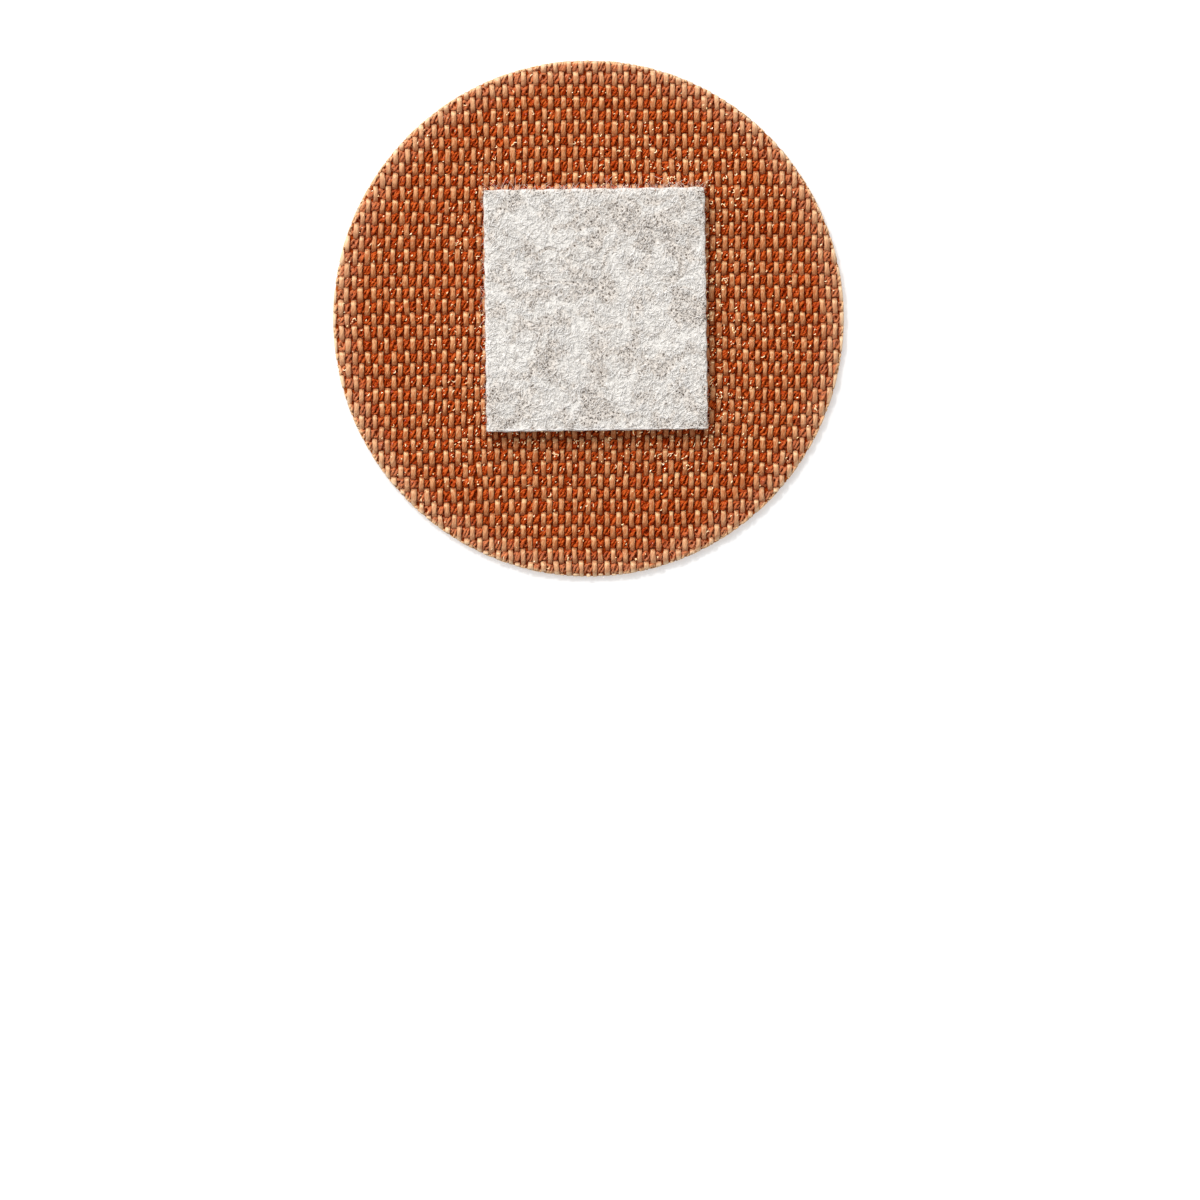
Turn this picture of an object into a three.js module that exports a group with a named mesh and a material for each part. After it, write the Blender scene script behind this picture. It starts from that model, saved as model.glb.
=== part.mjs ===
// Round fabric adhesive bandage: a spot of woven cloth, its adhesive coat and an absorbent pad.
// It lies on its outer cloth face, with the adhesive and the pad facing up.
// Millimetres, +Z up. X runs across the warp yarns and Y along them.
// The origin is under the middle of the cloth, on the surface that it lies on.

import * as THREE from 'three';

// Driving dimensions of the cloth
const CLOTH_WIDTH = 22.1; // across the warp yarns
const CLOTH_LENGTH = 22.35; // along the warp yarns: the cloth is cut a little longer than wide
const CLOTH_THICKNESS = 0.4; // from the outer yarn crowns to the adhesive
const WARP_PITCH = 0.28; // from one warp yarn to the next
const WEFT_PITCH = 0.545; // from one weft yarn to the next
const OUTER_CROWN = 0.12; // how far a yarn crown stands proud of the hollows on the outer face

// Driving dimensions of the adhesive coat
const COAT_THICKNESS = 0.05; // in the hollows
const COAT_CROWN = 0.1; // how far the coated yarn crowns stand proud of the hollows
const PRESSED_MARGIN = 0.3; // the coat is pressed flat this far past the pad's edges

// Driving dimensions of the pad
const PAD_WIDTH = 9.5; // across the warp yarns
const PAD_LENGTH = 10.4; // along the warp yarns
const PAD_THICKNESS = 0.8;
const PAD_CORNER = 0.15; // radius of its corners, seen from above
const PAD_EDGE = 0.1; // how far its cut edges are softened
const PAD_OFFSET_X = 0.31; // from the middle of the cloth
const PAD_OFFSET_Y = 0.37;
const PAD_TURN = THREE.MathUtils.degToRad(0.8); // it is laid a little askew

// Fineness of the facets
const CORNER_STEPS = 3;
const EDGE_STEPS = 2;
const LEAST_CELL = 0.3; // the shortest cell left at the rim, as a share of a whole one

// Levels
const COAT_FOOT = CLOTH_THICKNESS;
const COAT_HOLLOW = COAT_FOOT + COAT_THICKNESS;
const COAT_TOP = COAT_HOLLOW + COAT_CROWN;

// The region of the coat that the pad presses flat, square to the yarns
const PRESSED_HALF_WIDTH =
  (PAD_WIDTH * Math.cos(PAD_TURN) + PAD_LENGTH * Math.sin(PAD_TURN)) / 2 + PRESSED_MARGIN;
const PRESSED_HALF_LENGTH =
  (PAD_LENGTH * Math.cos(PAD_TURN) + PAD_WIDTH * Math.sin(PAD_TURN)) / 2 + PRESSED_MARGIN;

// Finishes
const clothFinish = new THREE.MeshStandardMaterial({ color: 0xc27c4e, roughness: 0.85, metalness: 0 });
const coatFinish = new THREE.MeshStandardMaterial({ color: 0xa85e35, roughness: 0.45, metalness: 0 });
const padFinish = new THREE.MeshStandardMaterial({ color: 0xdcd6ce, roughness: 0.95, metalness: 0 });

// Half the length of the punched oval, at a distance from its middle across the warp
function halfLengthAt(x) {
  return (CLOTH_LENGTH / 2) * Math.sqrt(Math.max(0, 1 - (2 * x / CLOTH_WIDTH) ** 2));
}

// The warp yarns as lines of points along Y, from one side of the oval to the other. A line has one
// point where it crosses each weft yarn and one at each end, on the rim. A crossing is a crown where
// the warp lies over the weft, and a hollow where it passes under: they alternate both ways.
// The oval's two side points are lines of one point. crownsAt says which crossings are crowns: 0 for
// those whose column and row numbers add up to an even number, or 1 for the others. isFlat tells
// where the face is pressed flat: inside such a region the crossings are left out.
function warpLines(crownsAt, isFlat) {
  const lastColumn = Math.floor(CLOTH_WIDTH / 2 / WARP_PITCH - LEAST_CELL);
  const lines = [[{ x: -CLOTH_WIDTH / 2, y: 0, onRim: true }]];
  for (let column = -lastColumn; column <= lastColumn; column += 1) {
    const x = column * WARP_PITCH;
    const end = halfLengthAt(x);
    const lastRow = Math.floor(end / WEFT_PITCH - LEAST_CELL);
    const line = [{ x, y: -end, onRim: true }];
    for (let row = -lastRow; row <= lastRow; row += 1) {
      const y = row * WEFT_PITCH;
      const surrounded =
        isFlat(x, y - WEFT_PITCH) && isFlat(x, y + WEFT_PITCH) &&
        isFlat(x - WARP_PITCH, y) && isFlat(x + WARP_PITCH, y);
      const isCrown = Math.abs((column + row) % 2) === crownsAt;
      if (!surrounded) line.push({ x, y, isCrown, isFlat: isFlat(x, y) });
    }
    line.push({ x, y: end, onRim: true });
    lines.push(line);
  }
  lines.push([{ x: CLOTH_WIDTH / 2, y: 0, onRim: true }]);
  return lines;
}

// The faces of the strip between two neighbouring lines, each a list of points from low to high Y.
// A cell is split from hollow to hollow, so that each crown is a small pyramid.
function stripFaces(left, right) {
  const faces = [];
  let [l, r] = [0, 0];
  while (l + 1 < left.length || r + 1 < right.length) {
    const [nextLeft, nextRight] = [left[l + 1], right[r + 1]];
    const level = nextLeft && nextRight && Math.abs(nextLeft.y - nextRight.y) < WEFT_PITCH / 1000;
    const goLeft = !nextRight || (nextLeft && (level ? !nextLeft.isCrown : nextLeft.y < nextRight.y));
    faces.push([left[l], right[r], goLeft ? nextLeft : nextRight]);
    if (goLeft) l += 1;
    else r += 1;
  }
  return faces;
}

// A closed oval sheet with a flat back at one level and the weave on its other face
function wovenSheet({ backZ, crownsAt, levelOf, isFlat = () => false }) {
  const lines = warpLines(crownsAt, isFlat);
  const faces = [];
  const addFace = (a, b, c) => {
    if (a !== b && b !== c && c !== a) faces.push([a, b, c]);
  };
  const backOf = new Map();
  for (const line of lines) {
    for (const end of [line[0], line.at(-1)]) {
      if (!backOf.has(end)) backOf.set(end, { x: end.x, y: end.y, isBack: true });
    }
  }

  for (let index = 0; index + 1 < lines.length; index += 1) {
    const [left, right] = [lines[index], lines[index + 1]];
    for (const face of stripFaces(left, right)) addFace(...face);

    const [lowLeft, lowRight, highLeft, highRight] = [left[0], right[0], left.at(-1), right.at(-1)];
    const back = [lowLeft, lowRight, highLeft, highRight].map((point) => backOf.get(point));
    const [backLowLeft, backLowRight, backHighLeft, backHighRight] = back;
    addFace(backLowLeft, backLowRight, lowRight);
    addFace(backLowLeft, lowRight, lowLeft);
    addFace(backHighRight, backHighLeft, highLeft);
    addFace(backHighRight, highLeft, highRight);
    addFace(backLowLeft, backHighRight, backLowRight);
    addFace(backLowLeft, backHighLeft, backHighRight);
  }

  // The faces were wound for a weave that looks up. A sheet that shows it below is turned round.
  const looksUp = backZ < levelOf({ isCrown: true });
  const corners = faces.flatMap((face) => (looksUp ? face : [...face].reverse()));
  const positions = corners.flatMap((point) => [point.x, point.y, point.isBack ? backZ : levelOf(point)]);
  const geometry = new THREE.BufferGeometry();
  geometry.setAttribute('position', new THREE.Float32BufferAttribute(positions, 3));
  geometry.computeVertexNormals();
  return geometry;
}

// The cloth. Its outer face, which it lies on, shows the weave: the crowns touch the surface, and
// the punch has pinched the cut edge to half their height. Its inner face carries the adhesive.
function wovenBacking() {
  const levelOf = (point) => (point.onRim ? OUTER_CROWN / 2 : point.isCrown ? 0 : OUTER_CROWN);
  const sheet = wovenSheet({ backZ: CLOTH_THICKNESS, crownsAt: 0, levelOf });
  const mesh = new THREE.Mesh(sheet, clothFinish);
  mesh.name = 'woven_backing';
  return mesh;
}

// The adhesive. It fills the inner face of the cloth and follows the weave, except under the pad.
// A warp yarn that shows on the outer face passes under on the inner one, so the crowns swap.
function adhesiveCoat() {
  const isPressed = (x, y) =>
    Math.abs(x - PAD_OFFSET_X) < PRESSED_HALF_WIDTH && Math.abs(y - PAD_OFFSET_Y) < PRESSED_HALF_LENGTH;
  const levelOf = (point) => {
    if (point.onRim) return COAT_HOLLOW + COAT_CROWN / 2;
    return point.isFlat || point.isCrown ? COAT_TOP : COAT_HOLLOW;
  };
  const sheet = wovenSheet({ backZ: COAT_FOOT, crownsAt: 1, levelOf, isFlat: isPressed });
  const mesh = new THREE.Mesh(sheet, coatFinish);
  mesh.name = 'adhesive_coat';
  return mesh;
}

// The pad: a slab cut from felt, with softened edges, stuck to the coat
function absorbentPad() {
  const [inX, inY] = [PAD_WIDTH / 2 - PAD_CORNER, PAD_LENGTH / 2 - PAD_CORNER];
  const quarter = Math.PI / 2;
  const outline = new THREE.Shape();
  outline.absarc(inX, inY, PAD_CORNER, 0, quarter);
  outline.absarc(-inX, inY, PAD_CORNER, quarter, 2 * quarter);
  outline.absarc(-inX, -inY, PAD_CORNER, 2 * quarter, 3 * quarter);
  outline.absarc(inX, -inY, PAD_CORNER, 3 * quarter, 4 * quarter);
  const slab = new THREE.ExtrudeGeometry(outline, {
    depth: PAD_THICKNESS - 2 * PAD_EDGE,
    steps: 1,
    curveSegments: CORNER_STEPS,
    bevelThickness: PAD_EDGE,
    bevelSize: PAD_EDGE,
    bevelOffset: -PAD_EDGE,
    bevelSegments: EDGE_STEPS,
  });
  const mesh = new THREE.Mesh(slab.translate(0, 0, PAD_EDGE), padFinish);
  mesh.name = 'absorbent_pad';
  mesh.position.set(PAD_OFFSET_X, PAD_OFFSET_Y, COAT_TOP);
  mesh.rotation.z = PAD_TURN;
  return mesh;
}

const bandage = new THREE.Group();
bandage.add(wovenBacking(), adhesiveCoat(), absorbentPad());

export default bandage;
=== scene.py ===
"""A round fabric adhesive bandage, lying on its cloth face with the adhesive and the pad facing up.

The cloth is woven yarn by yarn: tan warp yarns along Y over bulky rust weft yarns along X. A film of
adhesive fills the inner face between the yarns, and a pad of needled felt is stuck to its middle.
All sizes are in metres.
"""

from __future__ import annotations

import logging
import math
from dataclasses import dataclass, field
from enum import Enum
from typing import Sequence

import bpy
import numpy as np
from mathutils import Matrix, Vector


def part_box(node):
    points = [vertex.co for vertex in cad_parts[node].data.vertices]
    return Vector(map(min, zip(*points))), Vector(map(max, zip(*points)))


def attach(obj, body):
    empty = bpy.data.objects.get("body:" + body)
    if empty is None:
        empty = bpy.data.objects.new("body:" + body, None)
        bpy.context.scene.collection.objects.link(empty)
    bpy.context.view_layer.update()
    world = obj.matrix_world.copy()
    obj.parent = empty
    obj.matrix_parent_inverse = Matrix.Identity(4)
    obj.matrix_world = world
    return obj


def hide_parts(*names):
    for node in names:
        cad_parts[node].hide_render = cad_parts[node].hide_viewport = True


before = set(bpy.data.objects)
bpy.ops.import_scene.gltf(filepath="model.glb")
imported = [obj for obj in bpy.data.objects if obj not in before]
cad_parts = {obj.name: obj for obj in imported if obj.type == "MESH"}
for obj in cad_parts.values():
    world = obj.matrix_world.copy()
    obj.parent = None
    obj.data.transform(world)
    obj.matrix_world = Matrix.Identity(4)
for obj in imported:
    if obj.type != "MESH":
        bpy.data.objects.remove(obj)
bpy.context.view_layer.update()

LOG = logging.getLogger("bandage")
MM = 0.001
Points = np.ndarray
Rgb = tuple[float, float, float]
WHITE = (1.0, 1.0, 1.0, 1.0)


class PadEdge(Enum):
    """An edge of the pad: the way it faces, its share of the fringe, and how far the fringe stands out."""

    LEFT = (-1, 0, 0.36, 0.8)
    FAR = (0, 1, 0.34, 1.5)
    RIGHT = (1, 0, 0.2, 0.5)
    NEAR = (0, -1, 0.1, 0.25)

    def __init__(self, faces_x: int, faces_y: int, share: float, reach: float) -> None:
        """Keep the edge's values by name.

        Args:
            faces_x: -1 or 1 where the edge faces along X, or else 0.
            faces_y: -1 or 1 where it faces along Y, or else 0.
            share: The share of all fringe fibres that stand from it.
            reach: How far they stand out, as a share of the usual length.
        """
        self.faces_x = faces_x
        self.faces_y = faces_y
        self.share = share
        self.reach = reach


def hex_rgb(code: str) -> Rgb:
    """Turn a colour as it looks on screen into the linear colour that a shader takes.

    Args:
        code: Six hexadecimal digits, such as "c8916a".

    Returns:
        Linear red, green and blue.
    """
    parts = [int(code[i : i + 2], 16) / 255 for i in (0, 2, 4)]
    return tuple(p / 12.92 if p <= 0.04045 else ((p + 0.055) / 1.055) ** 2.4 for p in parts)


def select_only(*pieces: bpy.types.Object) -> None:
    """Deselect everything, then select some objects and make the first one active.

    Args:
        *pieces: The objects to select.
    """
    bpy.ops.object.select_all(action="DESELECT")
    for piece in pieces:
        piece.select_set(True)
    bpy.context.view_layer.objects.active = pieces[0]


def points_of(piece: bpy.types.Object) -> Points:
    """Read the places of a mesh's vertices.

    Args:
        piece: The mesh.

    Returns:
        The vertices, one row for each.
    """
    flat = np.empty(3 * len(piece.data.vertices))
    piece.data.vertices.foreach_get("co", flat)
    return flat.reshape(-1, 3)


def place_points(piece: bpy.types.Object, points: Points) -> None:
    """Move a mesh's vertices to the given places, one row for each."""
    piece.data.vertices.foreach_set("co", np.ascontiguousarray(points, dtype=np.float32).ravel())
    piece.data.update()


def apply_modifiers(piece: bpy.types.Object) -> None:
    """Apply a piece's modifiers in order.

    Args:
        piece: The mesh.
    """
    select_only(piece)
    for modifier in list(piece.modifiers):
        bpy.ops.object.modifier_apply(modifier=modifier.name)


def tidy_mesh(piece: bpy.types.Object, merge: float = 1e-7) -> None:
    """Close seams, turn all faces outwards and shade a mesh smooth.

    Args:
        piece: The mesh.
        merge: Vertices nearer than this become one, in metres.
    """
    select_only(piece)
    bpy.ops.object.mode_set(mode="EDIT")
    bpy.ops.mesh.select_all(action="SELECT")
    bpy.ops.mesh.remove_doubles(threshold=merge)
    bpy.ops.mesh.normals_make_consistent(inside=False)
    bpy.ops.object.mode_set(mode="OBJECT")
    bpy.ops.object.shade_smooth()


def smooth_noise(draw: np.random.Generator, count: int, span: int) -> Points:
    """Draw so many random numbers around 0, each the mean of a span of them, so that they change softly."""
    return np.convolve(draw.normal(0, 1, count + span - 1), np.ones(span) / span, "valid")


@dataclass(frozen=True)
class Oval:
    """The oval that the cloth is punched to."""

    half_width: float
    half_length: float
    pinch_from: float = 0.972
    pinch_width: float = 0.028
    pinch_depth: float = 0.5

    def reach(self, x: Points | float, y: Points | float) -> Points | float:
        """How far out points lie: 0 in the middle, 1 on the rim and more outside."""
        return np.hypot(x / self.half_width, y / self.half_length)

    def trim(self, points: Points, middle: float) -> Points:
        """Cut a mesh as the punch does: what lies outside comes in to the rim, and the rim is pinched.

        Args:
            points: The vertices.
            middle: The height that the rim is pinched to.

        Returns:
            The vertices in their new places.
        """
        reach = self.reach(points[:, 0], points[:, 1])
        trimmed = points.copy()
        trimmed[:, :2] /= np.maximum(reach, 1)[:, None]
        pinch = self.pinch_depth * np.clip((reach - self.pinch_from) / self.pinch_width, 0, 1) ** 1.5
        trimmed[:, 2] += pinch * (middle - trimmed[:, 2])
        return trimmed

    def pieces_inside(self, path: Points, past: float) -> list[Points]:
        """Cut a path to the stretches that lie inside, each carried a little way past the rim.

        Args:
            path: The points of the path, in order.
            past: How far outside a point may lie and still be kept.

        Returns:
            The stretches of two or more points.
        """
        distance = (self.reach(path[:, 0], path[:, 1]) - 1) * self.half_width
        kept = np.flatnonzero(distance < past)
        runs = np.split(kept, np.flatnonzero(np.diff(kept) > 1) + 1)
        return [path[run] for run in runs if len(run) > 1]


@dataclass(frozen=True)
class Weave:
    """The grid that both sets of yarns follow, with the small drift of a real cloth."""

    warp_pitch: float = 0.28 * MM
    weft_pitch: float = 0.545 * MM
    drift_x: float = 0.05 * MM
    drift_y: float = 0.07 * MM
    float_bias: float = 0.06
    warp_rounding: float = 0.4
    weft_rounding: float = 0.6

    def drift(self, points: Points) -> Points:
        """Shift points sideways a little, by an amount that changes slowly over the cloth.

        Args:
            points: Points with x, y and z, one row for each.

        Returns:
            The points in their new places.
        """
        x, y = points[:, 0] / MM, points[:, 1] / MM
        moved = points.copy()
        slow_x = np.sin(0.31 * y + 0.22 * x + 0.4) + 0.6 * np.sin(0.83 * y - 0.4 * x)
        slow_y = np.sin(0.27 * x + 0.9) + 0.5 * np.sin(0.71 * x + 0.35 * y)
        moved[:, 0] += self.drift_x * (slow_x + 0.35 * np.sin(7.1 * x + 1.3 * np.sin(2.3 * x) + 0.6 * y))
        moved[:, 1] += self.drift_y * (slow_y + 0.5 * np.sin(2.9 * y + 1.5 * np.sin(0.9 * y) + 0.3 * x))
        return moved

    def straighten(self, points: Points) -> Points:
        """Undo the drift, near enough to tell which yarn and which crossing a point belongs to."""
        return 2 * points - self.drift(points)

    def warp_lift(self, column: int, y: Points) -> Points:
        """Say how high a warp yarn runs along its length.

        Args:
            column: The yarn's number, counted from the middle of the cloth.
            y: Places along it.

        Returns:
            The height at each place: 1 at an inner crown and -1 at an outer one.
        """
        wave = np.cos(math.pi * (y / self.weft_pitch + column + 1))
        wave = (wave + self.float_bias) / (1 + self.float_bias)
        return np.sign(wave) * np.abs(wave) ** self.warp_rounding

    def weft_lift(self, row: int, x: Points) -> Points:
        """Say how high a weft yarn runs along its length: it rises where the warp dips."""
        wave = -np.cos(math.pi * (x / self.warp_pitch + row + 1))
        return np.sign(wave) * np.abs(wave) ** self.weft_rounding


def sweep(
    name: str,
    paths: Sequence[Points],
    width: float,
    height: float,
    sides: int,
    roundness: float = 1.0,
) -> bpy.types.Object:
    """Sweep an oval section along many paths, as strands of one mesh.

    Each path is a spline of one curve object, which is made a mesh at the end.

    Args:
        name: The name of the piece.
        paths: Points with x, y, z and a share of the full thickness, one row for each.
        width: The strand's width, seen from above.
        height: The strand's height.
        sides: How many flats the section has.
        roundness: 1 for an oval section, and less for one with a flatter top and bottom.

    Returns:
        The mesh object.
    """
    section = bpy.data.curves.new(f"{name}_section", "CURVE")
    section.dimensions = "2D"
    outline = section.splines.new("POLY")
    outline.points.add(sides - 1)
    for index, point in enumerate(outline.points):
        angle = -2 * math.pi * (index + 0.5) / sides
        across, up = (math.copysign(abs(f(angle)) ** roundness, f(angle)) for f in (math.cos, math.sin))
        point.co = (width / 2 * across, height / 2 * up, 0, 1)
    outline.use_cyclic_u = True
    section_object = bpy.data.objects.new(section.name, section)
    bpy.context.scene.collection.objects.link(section_object)

    curve = bpy.data.curves.new(name, "CURVE")
    curve.dimensions = "3D"
    curve.twist_mode = "Z_UP"
    curve.bevel_mode = "OBJECT"
    curve.bevel_object = section_object
    curve.use_fill_caps = True
    for path in paths:
        spline = curve.splines.new("POLY")
        spline.points.add(len(path) - 1)
        homogeneous = np.c_[path[:, :3], np.ones(len(path))]
        spline.points.foreach_set("co", homogeneous.astype(np.float32).ravel())
        spline.points.foreach_set("radius", path[:, 3].astype(np.float32))
    piece = bpy.data.objects.new(name, curve)
    bpy.context.scene.collection.objects.link(piece)
    select_only(piece)
    bpy.ops.object.convert(target="MESH")
    bpy.data.objects.remove(section_object)
    bpy.data.curves.remove(section)
    tidy_mesh(piece)
    return piece


class Nodes:
    """A short way to lay out shader nodes in one node tree."""

    def __init__(self, tree: bpy.types.NodeTree) -> None:
        """Start with an empty tree."""
        self.tree = tree
        tree.nodes.clear()

    def add(
        self,
        kind: str,
        inputs: dict[str | int, object] | None = None,
        **settings: object,
    ) -> bpy.types.Node:
        """Add a node, set its properties, and set or link its inputs.

        Args:
            kind: The node's type, without the word ShaderNode where it starts with it.
            inputs: Socket name or number to a value, or to an output that feeds it.
            **settings: Properties of the node.

        Returns:
            The node.
        """
        node = self.tree.nodes.new(kind if kind.startswith("Node") else f"ShaderNode{kind}")
        for key, value in settings.items():
            setattr(node, key, value)
        for key, value in (inputs or {}).items():
            socket = node.inputs[key]
            if isinstance(value, bpy.types.NodeSocket):
                self.tree.links.new(value, socket)
            else:
                socket.default_value = value
        return node

    def maths(self, operation: str, a: object, b: object = 0.0, c: object = 0.0) -> bpy.types.NodeSocket:
        """Add a Math node on up to three values, and give its output."""
        return self.add("Math", {0: a, 1: b, 2: c}, operation=operation).outputs[0]

    def ramp(
        self,
        value: object,
        low: float,
        high: float,
        to_low: float = 0.0,
        to_high: float = 1.0,
    ) -> bpy.types.NodeSocket:
        """Map a value smoothly from one range to another.

        Args:
            value: The value, or an output that gives it.
            low: Where the range starts.
            high: Where it ends.
            to_low: The result at low.
            to_high: The result at high.

        Returns:
            The output.
        """
        inputs = {"Value": value, "From Min": low, "From Max": high, "To Min": to_low, "To Max": to_high}
        return self.add("MapRange", inputs, interpolation_type="SMOOTHSTEP").outputs["Result"]

    def blend(self, share: object, a: object, b: object) -> bpy.types.NodeSocket:
        """Mix two colours.

        Args:
            share: How much of the second colour there is, from 0 to 1.
            a: The first colour, or an output that gives it.
            b: The second colour, or an output that gives it.

        Returns:
            The output.
        """
        node = self.add("Mix", data_type="RGBA", blend_type="MIX")
        for socket, value in zip((node.inputs[0], node.inputs[6], node.inputs[7]), (share, a, b)):
            if isinstance(value, bpy.types.NodeSocket):
                self.tree.links.new(value, socket)
            else:
                socket.default_value = (*value, 1.0)
        return node.outputs[2]

    def noise(
        self, vector: object, scale: object, detail: float = 2.0, **inputs: float
    ) -> bpy.types.NodeSocket:
        """Add a Noise Texture on some coordinates, and give its value."""
        inputs = {"Vector": vector, "Scale": scale, "Detail": detail, **inputs}
        return self.add("TexNoise", inputs).outputs["Fac"]

    def bump(self, height: object, strength: float, depth: float) -> bpy.types.NodeSocket:
        """Add a Bump node of a depth in metres, and give its normal."""
        return self.add("Bump", {"Height": height, "Strength": strength, "Distance": depth}).outputs[0]

    def stretch(self, vector: object, turn: object, along: float) -> bpy.types.NodeSocket:
        """Turn coordinates around Z, then scale the new Y, and give the output."""
        turned = self.add("VectorRotate", {"Vector": vector, "Angle": turn}, rotation_type="Z_AXIS")
        scales = {0: turned.outputs[0], 1: (1.0, along, 1.0)}
        return self.add("VectorMath", scales, operation="MULTIPLY").outputs[0]


def group_tree(name: str, inputs: dict[str, float], outputs: Sequence[str]) -> bpy.types.ShaderNodeTree:
    """Make an empty shader node group with named number sockets.

    Args:
        name: The group's name.
        inputs: The name and the default value of each input.
        outputs: The names of the outputs.

    Returns:
        The group's tree.
    """
    tree = bpy.data.node_groups.new(name, "ShaderNodeTree")
    for label, value in inputs.items():
        socket = tree.interface.new_socket(label, in_out="INPUT", socket_type="NodeSocketFloat")
        socket.default_value = value
    for label in outputs:
        tree.interface.new_socket(label, in_out="OUTPUT", socket_type="NodeSocketFloat")
    return tree


@dataclass(frozen=True)
class Effects:
    """The node groups that several finishes share."""

    oval: Oval
    filaments: bpy.types.ShaderNodeTree = field(init=False)
    coating: bpy.types.ShaderNodeTree = field(init=False)
    thinness: bpy.types.ShaderNodeTree = field(init=False)

    def __post_init__(self) -> None:
        """Build the groups once."""
        object.__setattr__(self, "filaments", self._build_filaments())
        object.__setattr__(self, "coating", self._build_coating())
        object.__setattr__(self, "thinness", self._build_thinness())

    @staticmethod
    def _build_filaments() -> bpy.types.ShaderNodeTree:
        """Make the fine filaments that lie along a yarn with a little twist.

        Returns:
            The group, which gives a height from 0 to 1.
        """
        tree = group_tree("twisted_filaments", {"Turn": 0.35, "Finer": 1.0}, ["Height"])
        n = Nodes(tree)
        start = n.add("NodeGroupInput").outputs
        place = n.add("TexCoord").outputs["Object"]
        drawn = n.stretch(place, start["Turn"], 0.12)
        finer = n.add("VectorMath", {0: drawn, "Scale": start["Finer"]}, operation="SCALE").outputs[0]
        height = n.ramp(n.noise(finer, 15000.0, Roughness=0.6), 0.36, 0.64)
        n.add("NodeGroupOutput", {"Height": height})
        return tree

    def _build_coating(self) -> bpy.types.ShaderNodeTree:
        """Tell the coated yarn of the inner face from the bare yarn of the outer one, and find the rim.

        Returns:
            The group, which gives three masks from 0 to 1: coated yarn, the cut rim, and the ring of cloth
            just inside it. The last two say where the cloth and the adhesive are painted paler, as light on
            the less shaded open edge.
        """
        tree = group_tree("coating_and_rim", {"Foot": 0.2, "Head": 0.36}, ["Coated", "Rim", "Outer Ring"])
        n = Nodes(tree)
        start = n.add("NodeGroupInput").outputs
        place = n.add("TexCoord").outputs["Object"]
        x, y, z = n.add("SeparateXYZ", {0: place}).outputs
        height = n.maths("MULTIPLY", z, 1 / MM)
        coated = n.ramp(height, start["Foot"], start["Head"])
        across = n.maths("DIVIDE", x, self.oval.half_width)
        along = n.maths("DIVIDE", y, self.oval.half_length)
        squares = n.maths("ADD", n.maths("MULTIPLY", across, across), n.maths("MULTIPLY", along, along))
        reach = n.maths("SQRT", squares)
        # The rim and the ring inside it are where painted light makes the cloth paler.
        rim = n.ramp(reach, 0.982, 0.997)
        ring = n.ramp(reach, 0.88, 0.98)
        n.add("NodeGroupOutput", {"Coated": coated, "Rim": rim, "Outer Ring": ring})
        return tree

    @staticmethod
    def _build_thinness() -> bpy.types.ShaderNodeTree:
        """Find where the felt is thin, in soft clusters, and where its pits and the gaps between single
        fibres lie, which the felt's materials paint with shade.

        Returns:
            The group, which gives two masks from 0 to 1.
        """
        tree = group_tree("felt_thinness", {"Cluster Scale": 900.0}, ["Thin", "Fleck"])
        n = Nodes(tree)
        start = n.add("NodeGroupInput").outputs
        place = n.add("TexCoord").outputs["Object"]
        clusters = n.noise(place, start["Cluster Scale"], 3.0, Roughness=0.62, Distortion=0.8)
        thin = n.ramp(clusters, 0.43, 0.6)
        layers = []
        for turn, scale in ((0.85, 9200.0), (-0.7, 7000.0)):
            drawn = n.stretch(place, turn, 0.62)
            pits = n.add("TexVoronoi", {"Vector": drawn, "Scale": scale}, feature="F1").outputs["Distance"]
            strokes = n.noise(drawn, 2.0 * scale, Roughness=0.6)
            layers.append(n.maths("MAXIMUM", n.ramp(pits, 0.36, 0.12), n.ramp(strokes, 0.56, 0.7, 0.0, 0.6)))
        pit_shade_mask = n.maths("MAXIMUM", *layers)
        n.add("NodeGroupOutput", {"Thin": thin, "Fleck": pit_shade_mask})
        return tree


def new_material(name: str) -> tuple[bpy.types.Material, Nodes]:
    """Make an empty material.

    Args:
        name: Its name.

    Returns:
        The material, and the layout of its nodes.
    """
    material = bpy.data.materials.new(name)
    material.use_nodes = True
    return material, Nodes(material.node_tree)


def finish_with(n: Nodes, shader: bpy.types.Node) -> None:
    """Send a shader to the material's output."""
    n.add("OutputMaterial", {"Surface": shader.outputs[0]})


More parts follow.
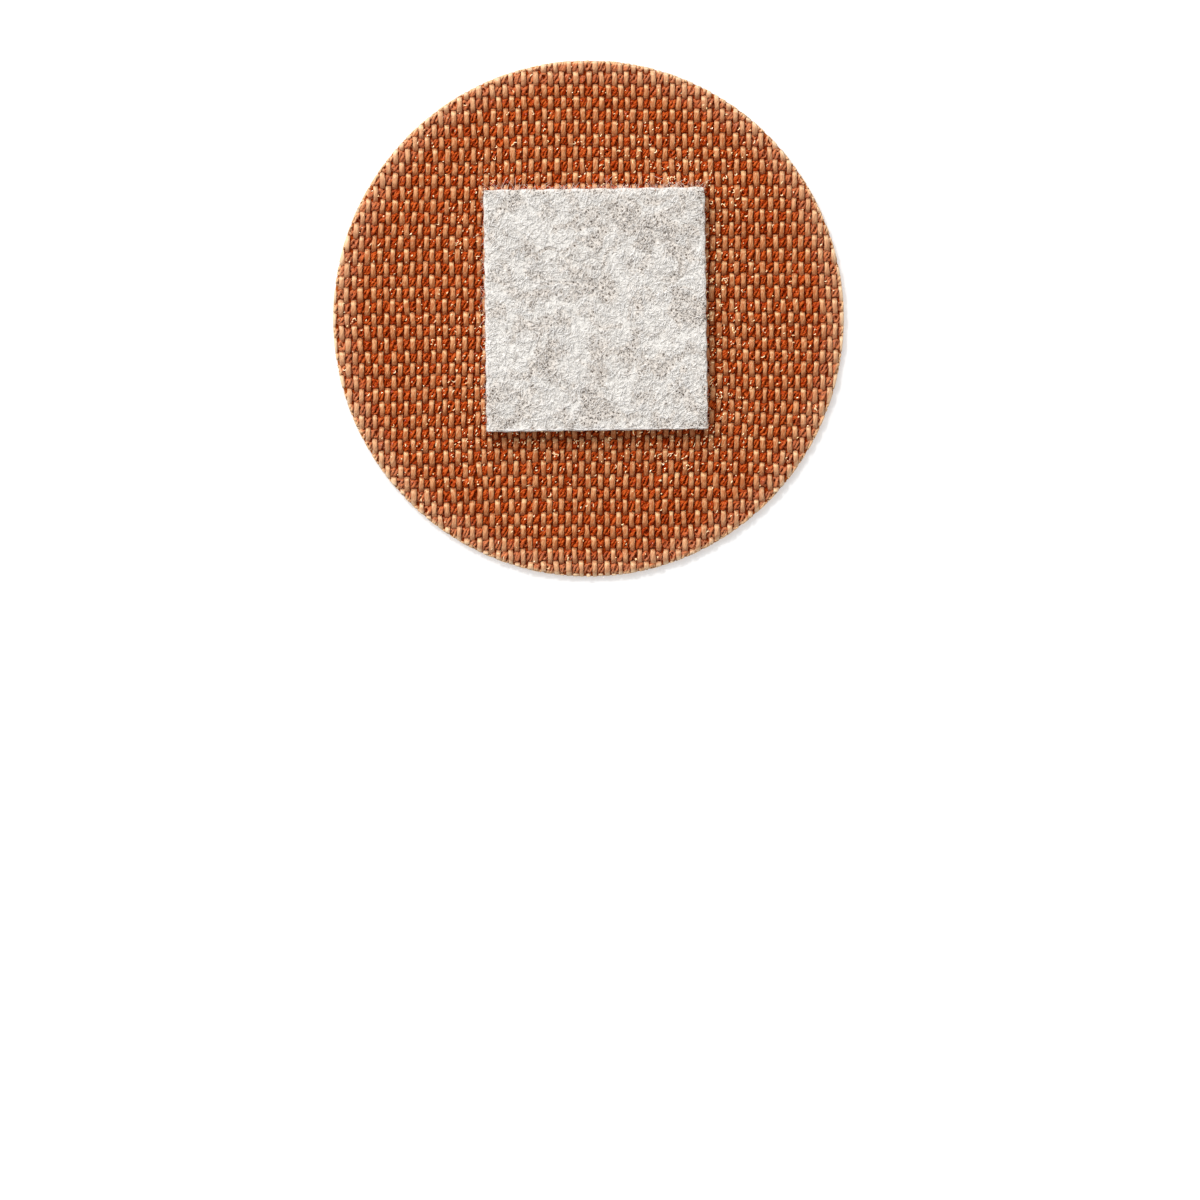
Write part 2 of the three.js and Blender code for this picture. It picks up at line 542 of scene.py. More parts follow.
@dataclass(frozen=True)
class YarnFinish:
    """Dyed yarn: bare on the outer face, and soaked with adhesive on the inner one. On the inner face each
    warp float gets a painted highlight on its far end and painted shade on its near end, and the cloth is
    painted paler towards the rim as light.
    """

    name: str
    coated: Rgb
    coated_dark: Rgb
    bare: Rgb
    bare_dark: Rgb
    # Painted highlight colour for the far end of each inner float.
    painted_end_highlight: Rgb
    # The paler colour painted towards the rim as light, where the open edge is less shaded.
    rim: Rgb
    turn: float
    finer: float
    patch_scale: float
    streaks: float
    bump: float
    coated_roughness: float
    gloss: float
    wet_gloss: float
    gloss_roughness: float
    bare_roughness: float = 0.75
    specular: float = 0.02
    ring_share: float = 0.22
    rim_share: float = 0.8

    def build(self, effects: Effects) -> bpy.types.Material:
        """Make the material.

        Args:
            effects: The shared node groups.

        Returns:
            The material.
        """
        material, n = new_material(self.name)
        place = n.add("TexCoord").outputs["Object"]
        twist = {"Turn": self.turn, "Finer": self.finer}
        height = n.add("Group", twist, node_tree=effects.filaments).outputs["Height"]
        coating = n.add("Group", node_tree=effects.coating).outputs
        along = n.add("Attribute", attribute_name="along_float").outputs["Fac"]
        varied = n.ramp(n.noise(place, 2600.0, 1.0), 0.4, 0.6, 0.25, 1.0)
        # Painted highlight on the far end of each warp float, which faces the lamps, varied at random;
        # painted shade on its near end.
        far_end_highlight = n.maths("MULTIPLY", n.ramp(along, 0.5, 0.98), varied)
        near_end_shade = n.maths("MULTIPLY", n.ramp(along, -0.5, -1.0), 0.55)

        patches = n.noise(place, self.patch_scale, Roughness=0.6)
        streaked = n.maths("MULTIPLY", height, self.streaks)
        shade = n.ramp(n.maths("MULTIPLY_ADD", patches, 1.0 - self.streaks, streaked), 0.28, 0.68)
        # The darker coated colour doubles as the painted shade on the near end of each float.
        shaded = n.blend(near_end_shade, n.blend(shade, self.coated_dark, self.coated), self.coated_dark)
        inner = n.blend(n.maths("MULTIPLY", far_end_highlight, 0.8), shaded, self.painted_end_highlight)
        outer = n.blend(shade, self.bare_dark, self.bare)
        sides = n.blend(coating["Coated"], outer, inner)
        # Painted light: the cloth grows paler and more golden in the ring inside the rim, and most on the
        # rim itself.
        ringed = n.blend(n.maths("MULTIPLY", coating["Outer Ring"], self.ring_share), sides, self.rim)
        colour = n.blend(n.maths("MULTIPLY", coating["Rim"], self.rim_share), ringed, self.rim)

        wet = n.maths("MAXIMUM", far_end_highlight, n.ramp(n.noise(place, 9000.0), 0.6, 0.68))
        glossy = n.maths("MULTIPLY_ADD", wet, self.wet_gloss - self.gloss, self.gloss)
        roughnesses = {"To Min": self.bare_roughness, "To Max": self.coated_roughness}
        inputs = {
            "Base Color": colour,
            "Roughness": n.add("MapRange", {"Value": coating["Coated"], **roughnesses}).outputs[0],
            "Normal": n.bump(height, self.bump, 0.02 * MM),
            "Specular IOR Level": self.specular,
            "Coat Weight": n.maths("MULTIPLY", coating["Coated"], glossy),
            "Coat Roughness": self.gloss_roughness,
        }
        finish_with(n, n.add("BsdfPrincipled", inputs))
        return material


@dataclass(frozen=True)
class AdhesiveFinish:
    """Tacky amber adhesive with fine bubbles, its colour varied at random between a deep and a pale one. On
    the film, which shows only in the gaps between yarns, the deep amber is partly painted shade; on the
    beads the pale colours and the faint glow are painted glints.
    """

    name: str
    deep: Rgb
    pale: Rgb
    # The paler colour painted on the rim as light.
    rim: Rgb
    roughness: float
    bump: float
    gloss: float
    specular: float
    gloss_ior: float
    # How strongly the beads glow: painted glints.
    painted_glint_glow: float
    rim_share: float = 0.6
    gloss_roughness: float = 0.15

    def build(self, effects: Effects) -> bpy.types.Material:
        """Make the material.

        Args:
            effects: The shared node groups.

        Returns:
            The material.
        """
        material, n = new_material(self.name)
        place = n.add("TexCoord").outputs["Object"]
        rim = n.add("Group", node_tree=effects.coating).outputs["Rim"]
        bubbles = n.add("TexVoronoi", {"Vector": place, "Scale": 9000.0}, feature="SMOOTH_F1")
        grain = n.noise(place, 14000.0, 3.0, Roughness=0.6)
        # On the film the deep colour is partly the adhesive's own and partly painted shade in the gaps
        # between yarns.
        mixed = n.blend(n.ramp(grain, 0.35, 0.75), self.deep, self.pale)
        # Painted light: the adhesive is paler on the rim.
        colour = n.blend(n.maths("MULTIPLY", rim, self.rim_share), mixed, self.rim)
        height = n.maths("ADD", bubbles.outputs["Distance"], grain)
        inputs = {
            "Base Color": colour,
            "Roughness": self.roughness,
            "Normal": n.bump(height, self.bump, 0.03 * MM),
            "Specular IOR Level": self.specular,
            "Coat Weight": self.gloss,
            "Coat IOR": self.gloss_ior,
            "Coat Roughness": self.gloss_roughness,
            # A faint glow: painted glints on the beads, none on the film.
            "Emission Color": colour,
            "Emission Strength": self.painted_glint_glow,
        }
        finish_with(n, n.add("BsdfPrincipled", inputs))
        return material


@dataclass(frozen=True)
class FeltFinish:
    """Needled felt: warm white, with greyer clusters where the web is thin, and painted shade in its pits
    and between its fibres, strongest in the thin clusters.
    """

    name: str
    thick: Rgb
    thin: Rgb
    # The painted shade colour for pits and the gaps between fibres.
    pit_shade: Rgb
    bump: float
    cluster_scale: float = 900.0
    roughness: float = 0.9
    specular: float = 0.25
    sheen: float = 0.1

    def build(self, effects: Effects) -> bpy.types.Material:
        """Make the material.

        Args:
            effects: The shared node groups.

        Returns:
            The material.
        """
        material, n = new_material(self.name)
        thinness = n.add("Group", {"Cluster Scale": self.cluster_scale}, node_tree=effects.thinness)
        thin, pit_shade_mask = thinness.outputs
        # Painted shade: the pits and the gaps between fibres are darkened, most where the web is thin.
        open_web = n.maths("MULTIPLY_ADD", thin, 0.92, 0.08)
        body = n.blend(thin, self.thick, self.thin)
        colour = n.blend(n.maths("MULTIPLY", pit_shade_mask, open_web), body, self.pit_shade)
        inputs = {
            "Base Color": colour,
            "Roughness": self.roughness,
            "Normal": n.bump(pit_shade_mask, self.bump, 0.05 * MM),
            "Specular IOR Level": self.specular,
            "Sheen Weight": self.sheen,
        }
        finish_with(n, n.add("BsdfPrincipled", inputs))
        return material


@dataclass
class WovenCloth:
    """The woven backing: warp yarns over and under weft yarns, punched to an oval."""

    oval: Oval
    weave: Weave
    top: float
    warp_width: float = 0.222 * MM
    warp_height: float = 0.11 * MM
    warp_steps: int = 12
    warp_sides: int = 6
    warp_roundness: float = 0.6
    warp_scatter: float = 0.011 * MM
    warp_sway: float = 0.014 * MM
    warp_wander: float = 0.03 * MM
    warp_unevenness: float = 0.2
    warp_rise: float = 0.006 * MM
    plies: int = 3
    ply_width: float = 0.13 * MM
    ply_reach: float = 0.168 * MM
    ply_rise: float = 0.065 * MM
    ply_turn: float = 0.43 * MM
    ply_step: float = 0.046 * MM
    ply_sides: int = 4
    ply_looseness: float = 1.7
    weft_swing: float = 0.1 * MM
    past_rim: float = 0.03 * MM
    seed: int = 7

    def warp_paths(self) -> list[Points]:
        """Lay out the warp yarns, one for each column that fits the oval.

        Returns:
            One path for each stretch of yarn.
        """
        draw = np.random.default_rng(self.seed)
        middle = self.top / 2
        swing = middle - self.warp_height / 2
        last = math.floor(self.oval.half_width / self.weave.warp_pitch - 0.3)
        step = 2 * self.weave.weft_pitch / self.warp_steps
        reach = math.ceil(self.oval.half_length / step)
        y = np.arange(-reach, reach + 1) * step
        paths = []
        for column in range(-last, last + 1):
            x = column * self.weave.warp_pitch + draw.normal(0, self.warp_scatter)
            sway = self.warp_sway * np.sin(y / MM * 2.1 + draw.uniform(0, 6.3))
            wander = self.warp_wander * smooth_noise(draw, len(y), 7)
            thickness = 1 + self.warp_unevenness * smooth_noise(draw, len(y), 5)
            z = middle + swing * self.weave.warp_lift(column, y) + draw.normal(0, self.warp_rise)
            path = np.c_[x + sway + wander, y, z, thickness]
            path[:, :3] = self.weave.drift(path[:, :3])
            paths += self.oval.pieces_inside(path, self.past_rim)
        return paths

    def weft_paths(self, parity: int) -> list[Points]:
        """Lay out the plies of every second weft yarn.

        Args:
            parity: 0 for the rows with even numbers, or 1 for the others.

        Returns:
            One path for each stretch of each ply.
        """
        draw = np.random.default_rng(self.seed + 1 + parity)
        middle = self.top / 2
        last = math.floor(self.oval.half_length / self.weave.weft_pitch)
        reach = self.oval.half_width + self.ply_step
        x = np.arange(-reach, reach, self.ply_step)
        paths = []
        for row in range(-last, last + 1):
            if row % 2 != parity:
                continue
            centre = middle + self.weft_swing * self.weave.weft_lift(row, x)
            start = draw.uniform(0, 2 * math.pi)
            for ply in range(self.plies):
                loose = smooth_noise(draw, len(x), 7) * self.ply_looseness
                angle = 2 * math.pi * (x / self.ply_turn + ply / self.plies) + start + 0.9 * loose
                spread = self.ply_reach * (1 + 0.22 * np.roll(loose, 3))
                y = row * self.weave.weft_pitch - spread * np.cos(angle)
                z = centre + self.ply_rise * np.sin(angle) * (1 + 0.3 * loose)
                path = np.c_[x, y, z, 1 + 0.3 * np.roll(loose, 11)]
                path[:, :3] = self.weave.drift(path[:, :3])
                paths += self.oval.pieces_inside(path, self.past_rim)
        return paths

    def mark_floats(self, warp: bpy.types.Object) -> None:
        """Store where each vertex lies along its inner float: 1 at the far end, where the warp's material
        paints a highlight, and -1 at the near one, where it paints shade.

        Args:
            warp: The warp yarns, before they are trimmed.
        """
        straight = self.weave.straighten(points_of(warp))
        column = np.round(straight[:, 0] / self.weave.warp_pitch)
        phase = math.pi * (straight[:, 1] / self.weave.weft_pitch + column + 1)
        along = np.sin(phase) * (np.cos(phase) > -0.2)
        attribute = warp.data.attributes.new("along_float", "FLOAT", "POINT")
        attribute.data.foreach_set("value", along.astype(np.float32))

    def build(self) -> list[bpy.types.Object]:
        """Weave the cloth.

        Returns:
            The warp, and the weft in two pieces.
        """
        section = (self.warp_width, self.warp_height, self.warp_sides, self.warp_roundness)
        pieces = [sweep("warp_yarns", self.warp_paths(), *section)]
        self.mark_floats(pieces[0])
        section = (self.ply_width, self.ply_width, self.ply_sides)
        for parity, word in enumerate(("even", "odd")):
            pieces.append(sweep(f"weft_yarns_{word}", self.weft_paths(parity), *section))
        for piece in pieces:
            points = self.oval.trim(points_of(piece), self.top / 2)
            points[:, 2] = np.clip(points[:, 2], 0.0, self.top)
            place_points(piece, points)
        return pieces


@dataclass(frozen=True)
class PadPlace:
    """Where the pad lies and how large it is."""

    centre_x: float
    centre_y: float
    foot: float
    top: float
    width: float
    length: float
    turn: float

    def to_cloth(self, points: Points) -> Points:
        """Turn and shift points from the pad's own middle to their place on the cloth.

        Args:
            points: Points whose x and y start at the pad's middle, one row for each.

        Returns:
            The points in their new places.
        """
        cos, sin = math.cos(self.turn), math.sin(self.turn)
        placed = points.copy()
        placed[:, 0] = self.centre_x + points[:, 0] * cos - points[:, 1] * sin
        placed[:, 1] = self.centre_y + points[:, 0] * sin + points[:, 1] * cos
        return placed

    def distance(self, x: float, y: float) -> float:
        """Measure how far a place on the cloth lies from the pad's edge.

        Args:
            x: The place along X.
            y: The place along Y.

        Returns:
            The distance, less than 0 under the pad.
        """
        cos, sin = math.cos(self.turn), math.sin(self.turn)
        dx, dy = x - self.centre_x, y - self.centre_y
        across = abs(dx * cos + dy * sin) - self.width / 2
        along = abs(dy * cos - dx * sin) - self.length / 2
        outside = math.hypot(max(across, 0), max(along, 0))
        return outside if outside > 0 else max(across, along)


@dataclass
class AdhesiveCoat:
    """The adhesive: a film between the yarns of the inner face, with small beads on it whose pale colour and
    faint glow are painted glints.
    """

    oval: Oval
    weave: Weave
    foot: float
    top: float
    pad: PadPlace
    columns: int = 84
    rows: int = 84
    thickness: float = 0.05 * MM
    soak: float = 0.13 * MM
    inset: float = 0.03 * MM
    skin: float = 0.012 * MM
    beads: int = 1300
    bead_width: float = 0.046 * MM
    bead_height: float = 0.036 * MM
    bead_heading: float = 52
    heading_spread: float = 26
    bead_margin: float = 0.02 * MM
    bead_reach: float = 0.985
    crown_share: float = 0.25
    glint_falloff: float = 1.4 * MM
    seed: int = 21

    def build_film(self) -> bpy.types.Object:
        """Lay the film: a grid drawn in to the rim, with its skin gently uneven.

        Returns:
            The film.
        """
        bpy.ops.object.select_all(action="DESELECT")
        bpy.ops.mesh.primitive_grid_add(x_subdivisions=self.columns, y_subdivisions=self.rows, size=2)
        film = bpy.context.object
        film.name = film.data.name = "adhesive_film"
        square = points_of(film)
        # A square becomes a disc without a crease, and the disc becomes the oval.
        u, v = square[:, 0], square[:, 1]
        x = u * np.sqrt(1 - v**2 / 2) * (self.oval.half_width - self.inset)
        y = v * np.sqrt(1 - u**2 / 2) * (self.oval.half_length - self.inset)
        uneven = np.sin(x / MM * 9.1 + np.sin(y / MM * 5.3)) * np.sin(y / MM * 8.3 + np.sin(x / MM * 4.7))
        z = self.foot - self.soak + self.skin * uneven
        place_points(film, np.c_[x, y, z])
        solidify = film.modifiers.new("thickness", "SOLIDIFY")
        solidify.thickness = self.thickness
        solidify.offset = -1
        apply_modifiers(film)
        tidy_mesh(film)
        return film

    def density(self, x: float, y: float, away: float) -> float:
        """How likely a bead is kept: most likely just right of the pad and below it, where the painted
        glints lie thickest.
        """
        glint_side = 1.0 if x > self.pad.centre_x or y < self.pad.centre_y else 0.55
        return 0.09 + 0.91 * glint_side * math.exp(-((away / self.glint_falloff) ** 1.5))

    def build_beads(self) -> bpy.types.Object:
        """Scatter beads and short threads of adhesive, most of them near the pad, as painted glints: pale
        and faintly glowing.

        Returns:
            All beads as one piece.
        """
        draw = np.random.default_rng(self.seed)
        columns = int(self.oval.half_width / self.weave.warp_pitch)
        rows = int(self.oval.half_length / self.weave.weft_pitch)
        paths = []
        while len(paths) < self.beads:
            column, row = draw.integers(-columns, columns + 1), draw.integers(-rows, rows + 1)
            x = (column + draw.normal(0, 0.27)) * self.weave.warp_pitch
            y = (row + draw.normal(0, 0.22)) * self.weave.weft_pitch
            away = self.pad.distance(x, y)
            outside = self.oval.reach(x, y) >= self.bead_reach
            on_crown = (column + row) % 2 == 1 and draw.random() > self.crown_share
            if on_crown or outside or away < self.bead_margin or draw.random() > self.density(x, y, away):
                continue
            turn = math.radians(draw.normal(self.bead_heading, self.heading_spread))
            length = draw.gamma(4.0, 0.021) * MM
            along = np.linspace(-0.5, 0.5, 4) * length
            bow = draw.normal(0, 0.35) * length * (1 - (2 * along / length) ** 2)
            height = self.top - draw.uniform(0.015, 0.035) * MM
            path = np.c_[
                x + along * math.cos(turn) - bow * math.sin(turn),
                y + along * math.sin(turn) + bow * math.cos(turn),
                np.full(4, height),
                np.array([0.5, 1, 1, 0.5]) * draw.uniform(0.55, 1.25),
            ]
            path[:, :3] = self.weave.drift(path[:, :3])
            paths.append(path)
        return sweep("painted_glint_beads", paths, self.bead_width, self.bead_height, 6)


@dataclass
class FeltPad:
    """The absorbent pad: a slab of needled felt, its loose fibres, and the fringe on its edges."""

    place: PadPlace
    cell: float = 0.074 * MM
    fibres: int = 7200
    edge_fibres: int = 260
    fringe: int = 950
    fibre_width: float = 0.027 * MM
    fringe_width: float = 0.022 * MM
    fringe_root: float = 0.12 * MM
    margin: float = 0.1 * MM
    softened: float = 0.05 * MM
    rounded_off: float = 0.8
    sunk: float = 0.1 * MM
    lump: float = 0.015 * MM
    fine_lump: float = 0.03 * MM
    side_wave: float = 0.02 * MM
    end_wave: float = 0.015 * MM
    seed: int = 40

    def build_slab(self) -> bpy.types.Object:
        """Cut the slab: a box with softened edges, cut fine and given its lumpy skin.

        Returns:
            The slab.
        """
        place = self.place
        thickness = place.top - place.foot
        bpy.ops.object.select_all(action="DESELECT")
        bpy.ops.mesh.primitive_cube_add(size=1)
        slab = bpy.context.object
        slab.name = slab.data.name = "pad_felt"
        # The fine cells round the edges off, so the box starts a little larger.
        spare = self.rounded_off * self.cell
        slab.scale = (place.width + spare, place.length + spare, thickness)
        bpy.ops.object.transform_apply(location=False, rotation=False, scale=True)
        bevel = slab.modifiers.new("softened_edges", "BEVEL")
        bevel.width = self.softened
        bevel.segments = 3
        bevel.limit_method = "NONE"
        remesh = slab.modifiers.new("fine_cells", "REMESH")
        remesh.mode = "VOXEL"
        remesh.voxel_size = self.cell
        apply_modifiers(slab)
        points = points_of(slab)
        x, y, z = (points[:, k] / MM for k in range(3))
        upper = np.clip((z + 0.1) / 0.3, 0, 1)
        lumps = np.sin(2.1 * x + 1.7 * np.sin(1.3 * y)) * np.sin(1.9 * y + 1.4 * np.sin(1.1 * x + 0.6))
        fine = np.sin(9.7 * x + 3 * np.sin(4.1 * y)) * np.sin(8.9 * y + 3 * np.sin(5.3 * x))
        at_side = np.sign(x) * (np.abs(x) > place.width / MM / 2 - 0.2)
        at_end = np.sign(y) * (np.abs(y) > place.length / MM / 2 - 0.2)
        points[:, 0] += at_side * self.side_wave * np.sin(7.0 * y)
        points[:, 1] += at_end * self.end_wave * np.sin(6.0 * x)
        points[:, 2] -= upper * (self.sunk + self.lump * lumps + self.fine_lump * fine)
        points[:, 2] += (place.foot + place.top) / 2
        place_points(slab, place.to_cloth(points))
        tidy_mesh(slab)
        return slab

    def build_fibres(self) -> bpy.types.Object:
        """Lay the loose fibres on the top face, and those that the cut has pressed along its near edge.

        Returns:
            All of them as one piece.
        """
        draw = np.random.default_rng(self.seed)
        place = self.place
        paths = []
        for _ in range(self.fibres):
            x = draw.uniform(-0.5, 0.5) * (place.width - self.margin)
            y = draw.uniform(-0.5, 0.5) * (place.length - self.margin)
            turn = draw.normal(0.9, 0.8) if draw.random() < 0.55 else draw.uniform(0, math.pi)
            paths.append(self._fibre(draw, x, y, turn, draw.uniform(0.14, 0.45) * MM))
        for _ in range(self.edge_fibres):
            x = draw.uniform(-0.5, 0.5) * (place.width - self.margin)
            y = draw.uniform(0.0, 0.05) * MM - place.length / 2
            paths.append(self._fibre(draw, x, y, draw.normal(0, 0.06), draw.uniform(0.3, 0.6) * MM))
        return sweep("pad_fibres", paths, self.fibre_width, self.fibre_width, 3)

    def _fibre(self, draw: np.random.Generator, x: float, y: float, turn: float, length: float) -> Points:
        """Lay out one curved fibre on the slab, its ends dipping into it.

        Args:
            draw: Where its bend, height and thickness are drawn from.
            x: Its middle along X, from the pad's own middle.
            y: Its middle along Y.
            turn: Its direction, in radians from X.
            length: Its length.

        Returns:
            Its path.
        """
        place = self.place
        along = np.linspace(-0.5, 0.5, 5)
        bend = draw.normal(0, 0.35)
        sideways = bend * (along**2 - 0.08) * 2 + draw.normal(0, 0.02, 5)
        fx = x + length * (along * math.cos(turn) - sideways * math.sin(turn))
        fy = y + length * (along * math.sin(turn) + sideways * math.cos(turn))
        fx = np.clip(fx, -place.width / 2, place.width / 2)
        fy = np.clip(fy, -place.length / 2, place.length / 2)
        rise = -abs(draw.normal(0, 0.05)) * MM
        z = place.top + rise - 0.07 * MM * (2 * along) ** 2
        thickness = draw.uniform(0.65, 1.25) * np.array([0.6, 1, 1, 1, 0.6])
        return place.to_cloth(np.c_[fx, fy, z, thickness])

    def build_fringe(self) -> bpy.types.Object:
        """Draw out the short fibres that stand from the cut edges, most on the left and far edges.

        Returns:
            All of them as one piece.
        """
        draw = np.random.default_rng(self.seed + 1)
        place = self.place
        half_width, half_length = place.width / 2, place.length / 2
        edges = list(PadEdge)
        shares = [edge.share for edge in edges]
        paths = []
        for _ in range(self.fringe):
            edge = edges[draw.choice(len(edges), p=shares)]
            run = draw.uniform(-1, 1)
            out = draw.gamma(2.0, 0.055) * MM * edge.reach
            lean = draw.normal(0, 1.0) * out + draw.normal(0, 0.04) * MM
            along = np.linspace(0, 1, 4)
            outward = -self.fringe_root + (out + self.fringe_root) * along
            sideways = lean * along**1.5
            if edge.faces_x:
                x, y = edge.faces_x * (half_width + outward), run * half_length + sideways
            else:
                x, y = run * half_width + sideways, edge.faces_y * (half_length + outward)
            rise = draw.uniform(0.15, 0.95) * (place.top - place.foot)
            z = place.foot + rise - draw.uniform(0, 0.12) * MM * along
            paths.append(place.to_cloth(np.c_[x, y, z, 1 - 0.4 * along]))
        return sweep("pad_fringe", paths, self.fringe_width, self.fringe_width, 3)


@dataclass(frozen=True)
class Lamp:
    """A square soft lamp that faces the bandage.

    Its azimuth, from +X towards +Y, and its elevation are in degrees, and its power is in watts.
    """

    name: str
    azimuth: float
    elevation: float
    power: float
    size: float
    distance: float = 0.4

    def build(self) -> None:
        """Hang the lamp."""
        a, e = math.radians(self.azimuth), math.radians(self.elevation)
        toward = (math.cos(e) * math.cos(a), math.cos(e) * math.sin(a), math.sin(e))
        bpy.ops.object.light_add(type="AREA", location=[self.distance * share for share in toward])
        lamp = bpy.context.object
        lamp.name = self.name
        lamp.data.energy = self.power
        lamp.data.size = self.size
        lamp.rotation_euler = (math.pi / 2 - e, 0, a + math.pi / 2)


@dataclass
class Studio:
    """The floor, the lamps and the camera."""

    picture_side: float = 1200.0
    pixel: float = 0.0433 * MM
    object_x: float = 588.5
    object_y: float = 318.7
    camera_height: float = 0.5
    sensor: float = 36.0
    floor_side: float = 2.0
    floor_grey: float = 0.66
    floor_glow: float = 0.385
    contact_glow: float = 0.5
    contact_height: float = 0.6 * MM
    room_light: float = 0.5
    lamps: tuple[Lamp, ...] = (
        Lamp("key_lamp", azimuth=124, elevation=40, power=1.68, size=0.46),
        Lamp("spark_lamp", azimuth=122, elevation=50, power=0.5, size=0.03),
    )

    def build_floor(self) -> bpy.types.Object:
        """Lay a pale floor that the camera sees as white, with the bandage's shadow on it.

        It lights the face that lies on it softly, and a camera below it looks through it, so that the
        outer face of the cloth can be looked at.

        Returns:
            The floor.
        """
        bpy.ops.object.select_all(action="DESELECT")
        bpy.ops.mesh.primitive_plane_add(size=self.floor_side)
        floor = bpy.context.object
        floor.name = "studio_floor"
        material, n = new_material("pale_floor")
        path = n.add("LightPath").outputs
        mirrored = n.maths("MAXIMUM", path["Is Glossy Ray"], path["Is Transmission Ray"])
        seen = n.maths("MAXIMUM", path["Is Camera Ray"], mirrored)
        touching = n.maths("LESS_THAN", path["Ray Length"], self.contact_height)
        near = n.maths("MULTIPLY", path["Is Diffuse Ray"], touching)
        glow = n.maths("MULTIPLY_ADD", seen, self.floor_glow, n.maths("MULTIPLY", near, self.contact_glow))
        paper = n.add("BsdfDiffuse", {"Color": (self.floor_grey, self.floor_grey, self.floor_grey, 1.0)})
        lift = n.add("Emission", {"Color": WHITE, "Strength": glow})
        lit = n.add("AddShader", {0: paper.outputs[0], 1: lift.outputs[0]})
        behind = n.add("NewGeometry").outputs["Backfacing"]
        clear = n.add("BsdfTransparent")
        finish_with(n, n.add("MixShader", {0: behind, 1: lit.outputs[0], 2: clear.outputs[0]}))
        material.cycles.emission_sampling = "NONE"
        floor.data.materials.append(material)
        return floor

    def build_world(self) -> None:
        """Fill the room with soft white light, and show white behind everything."""
        world = bpy.data.worlds.new("studio")
        bpy.context.scene.world = world
        world.use_nodes = True
        n = Nodes(world.node_tree)
        path = n.add("LightPath").outputs
        seen = n.maths("MAXIMUM", path["Is Camera Ray"], path["Is Transmission Ray"])
        strength = n.add("MapRange", {"Value": seen, "To Min": self.room_light}).outputs[0]
        background = n.add("Background", {"Color": WHITE, "Strength": strength})
        n.add("OutputWorld", {"Surface": background.outputs[0]})

    def build_camera(self) -> None:
        """Hang the camera straight above, so that the bandage lies where the photograph has it."""
        x = (self.picture_side / 2 - self.object_x) * self.pixel
        y = -(self.picture_side / 2 - self.object_y) * self.pixel
        bpy.ops.object.camera_add(location=(x, y, self.camera_height), rotation=(0, 0, 0))
        camera = bpy.context.object
        camera.name = "camera_above"
        camera.data.sensor_width = self.sensor
        camera.data.lens = self.sensor * self.camera_height / (self.picture_side * self.pixel)
        camera.data.clip_start = 0.01
        camera.data.clip_end = 10.0
        bpy.context.scene.camera = camera

    def build(self) -> None:
        """Build the whole studio."""
        bpy.context.scene.view_settings.view_transform = "Standard"
        self.build_floor()
        self.build_world()
        for lamp in self.lamps:
            lamp.build()
        self.build_camera()


def dress(piece: bpy.types.Object, material: bpy.types.Material, node: str) -> None:
    """Give a piece its material and its body, and hide the part of the node that it stands for.

    Args:
        piece: The piece.
        material: Its material.
        node: The node that it stands for.
    """
    piece.data.materials.clear()
    piece.data.materials.append(material)
    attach(piece, "root")
    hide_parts(node)
    LOG.info("%s: %d faces", piece.name, len(piece.data.polygons))


def pad_place(turn: float) -> PadPlace:
    """Work out the pad's own size and place from its box, which holds it turned.

    Args:
        turn: How far it is turned on the cloth, in radians.

    Returns:
        Its place.
    """
    low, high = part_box("absorbent_pad")
    box_width, box_length = high[0] - low[0], high[1] - low[1]
    cos, sin = math.cos(turn), math.sin(turn)
    spread = cos**2 - sin**2
    return PadPlace(
        centre_x=(low[0] + high[0]) / 2,
        centre_y=(low[1] + high[1]) / 2,
        foot=low[2],
        top=high[2],
        width=(box_width * cos - box_length * sin) / spread,
        length=(box_length * cos - box_width * sin) / spread,
        turn=turn,
    )


PAD_TURN = math.radians(0.8)
WARP_FINISH = YarnFinish(
    name="tan_warp_yarn",
    coated=hex_rgb("d49466"),
    coated_dark=hex_rgb("b66a3e"),
    bare=hex_rgb("e9bf98"),
    bare_dark=hex_rgb("c58f66"),
    # Painted highlight for the far ends of the floats.
    painted_end_highlight=hex_rgb("f4cc96"),
    rim=hex_rgb("fcdab2"),
    turn=0.25,
    finer=1.0,
    patch_scale=2100.0,
    streaks=0.6,
    bump=0.7,
    coated_roughness=0.5,
    gloss=0.05,
    wet_gloss=0.8,
    gloss_roughness=0.25,
)
WEFT_FINISH = YarnFinish(
    name="rust_weft_yarn",
    coated=hex_rgb("d06026"),
    coated_dark=hex_rgb("9c2c00"),
    bare=hex_rgb("b85c33"),
    bare_dark=hex_rgb("83381a"),
    painted_end_highlight=hex_rgb("e08040"),
    rim=hex_rgb("f6cc9c"),
    turn=1.1,
    finer=1.2,
    patch_scale=4600.0,
    streaks=0.5,
    bump=0.6,
    coated_roughness=0.45,
    gloss=0.05,
    wet_gloss=1.0,
    gloss_roughness=0.2,
)
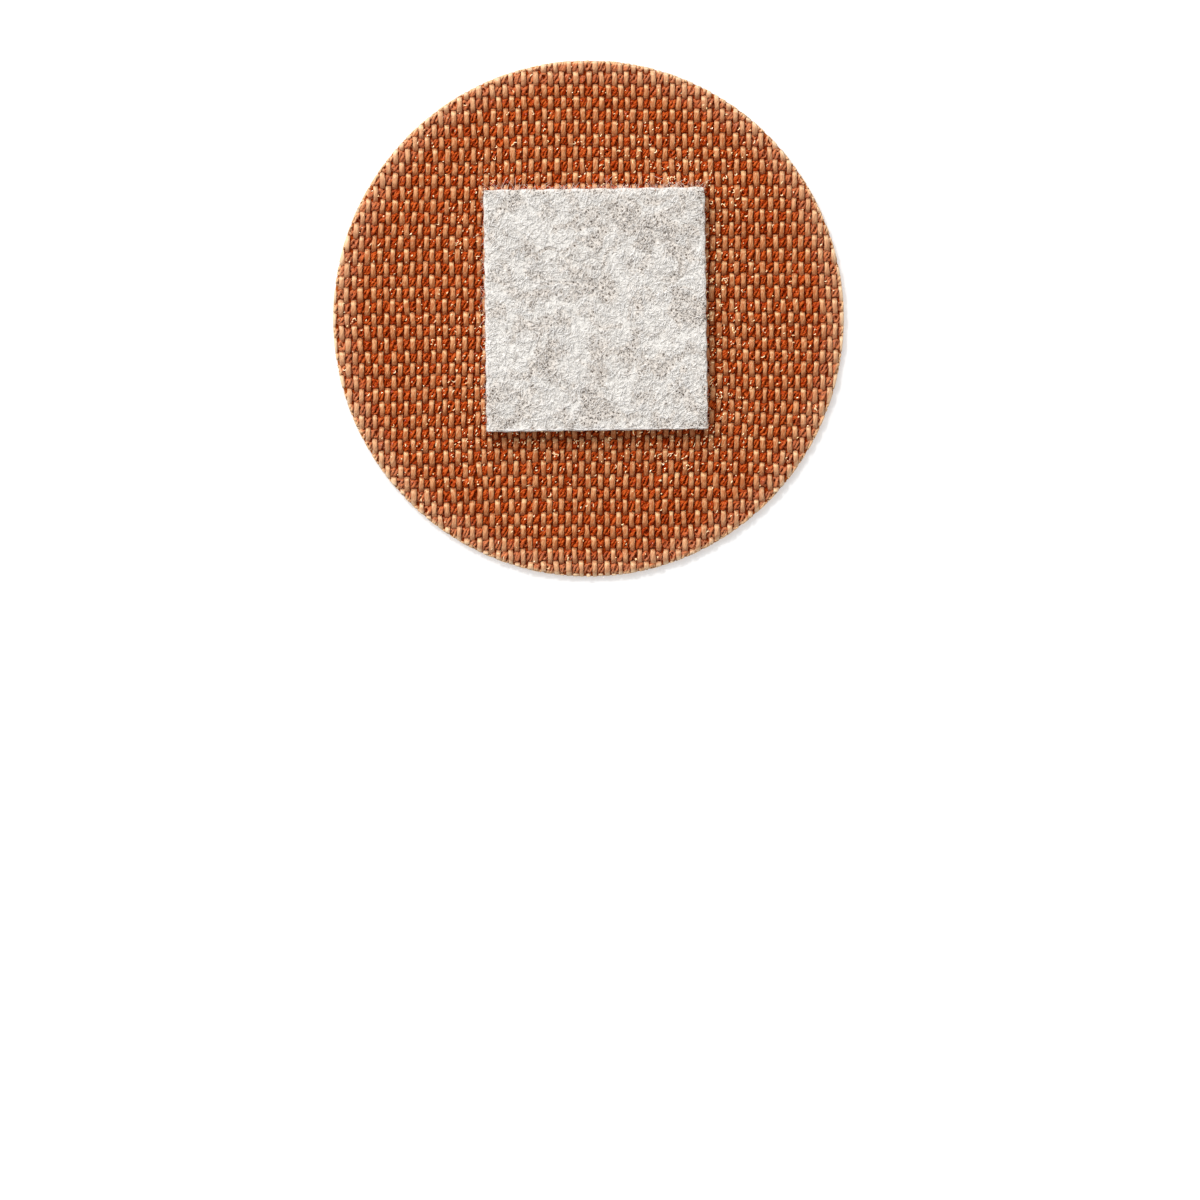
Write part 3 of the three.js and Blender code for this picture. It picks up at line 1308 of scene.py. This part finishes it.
# The film's deep amber is partly the adhesive's own colour and partly painted shade in the gaps between
# yarns.
FILM_FINISH = AdhesiveFinish(
    name="amber_adhesive",
    deep=hex_rgb("862600"),
    pale=hex_rgb("b84a06"),
    rim=hex_rgb("c07a3c"),
    roughness=0.5,
    bump=0.5,
    gloss=0.0,
    specular=0.03,
    gloss_ior=1.5,
    painted_glint_glow=0.0,
)
# The beads' pale colours and their glow are painted glints on the adhesive.
GLINT_BEAD_FINISH = AdhesiveFinish(
    name="painted_glint_bead",
    deep=hex_rgb("ffcc84"),
    pale=hex_rgb("ffeec8"),
    rim=hex_rgb("c07a3c"),
    roughness=0.2,
    bump=0.0,
    gloss=1.0,
    specular=1.0,
    gloss_ior=1.9,
    painted_glint_glow=0.25,
)
# The third colour of each felt finish is the painted shade in its pits and between its fibres.
FELT_FINISH = FeltFinish("white_felt", hex_rgb("e9e5df"), hex_rgb("e2dad1"), hex_rgb("66584d"), bump=0.7)
FIBRE_FINISH = FeltFinish("felt_fibre", hex_rgb("f7f4f1"), hex_rgb("f2ede8"), hex_rgb("85786c"), bump=0.0)
FRINGE_FINISH = FeltFinish("fringe_fibre", hex_rgb("f4dccc"), hex_rgb("e6bca4"), hex_rgb("c88c70"), bump=0.0)


def main() -> None:
    """Build the bandage and its studio in order."""
    logging.basicConfig(level=logging.INFO, format="%(message)s")
    cloth_low, cloth_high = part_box("woven_backing")
    coat_low, coat_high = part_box("adhesive_coat")
    oval = Oval((cloth_high[0] - cloth_low[0]) / 2, (cloth_high[1] - cloth_low[1]) / 2)
    effects = Effects(oval)
    place = pad_place(PAD_TURN)

    Studio().build()

    weave = Weave()
    cloth = WovenCloth(oval, weave, top=coat_high[2])
    warp, *wefts = cloth.build()
    dress(warp, WARP_FINISH.build(effects), "woven_backing")
    weft_material = WEFT_FINISH.build(effects)
    for weft in wefts:
        dress(weft, weft_material, "woven_backing")

    coat = AdhesiveCoat(oval, weave, coat_low[2], coat_high[2], place)
    film, beads = coat.build_film(), coat.build_beads()
    dress(film, FILM_FINISH.build(effects), "adhesive_coat")
    dress(beads, GLINT_BEAD_FINISH.build(effects), "adhesive_coat")

    pad = FeltPad(place)
    slab, fibres, fringe = pad.build_slab(), pad.build_fibres(), pad.build_fringe()
    for piece, finish in ((slab, FELT_FINISH), (fibres, FIBRE_FINISH), (fringe, FRINGE_FINISH)):
        dress(piece, finish.build(effects), "absorbent_pad")


if __name__ == "__main__":
    main()
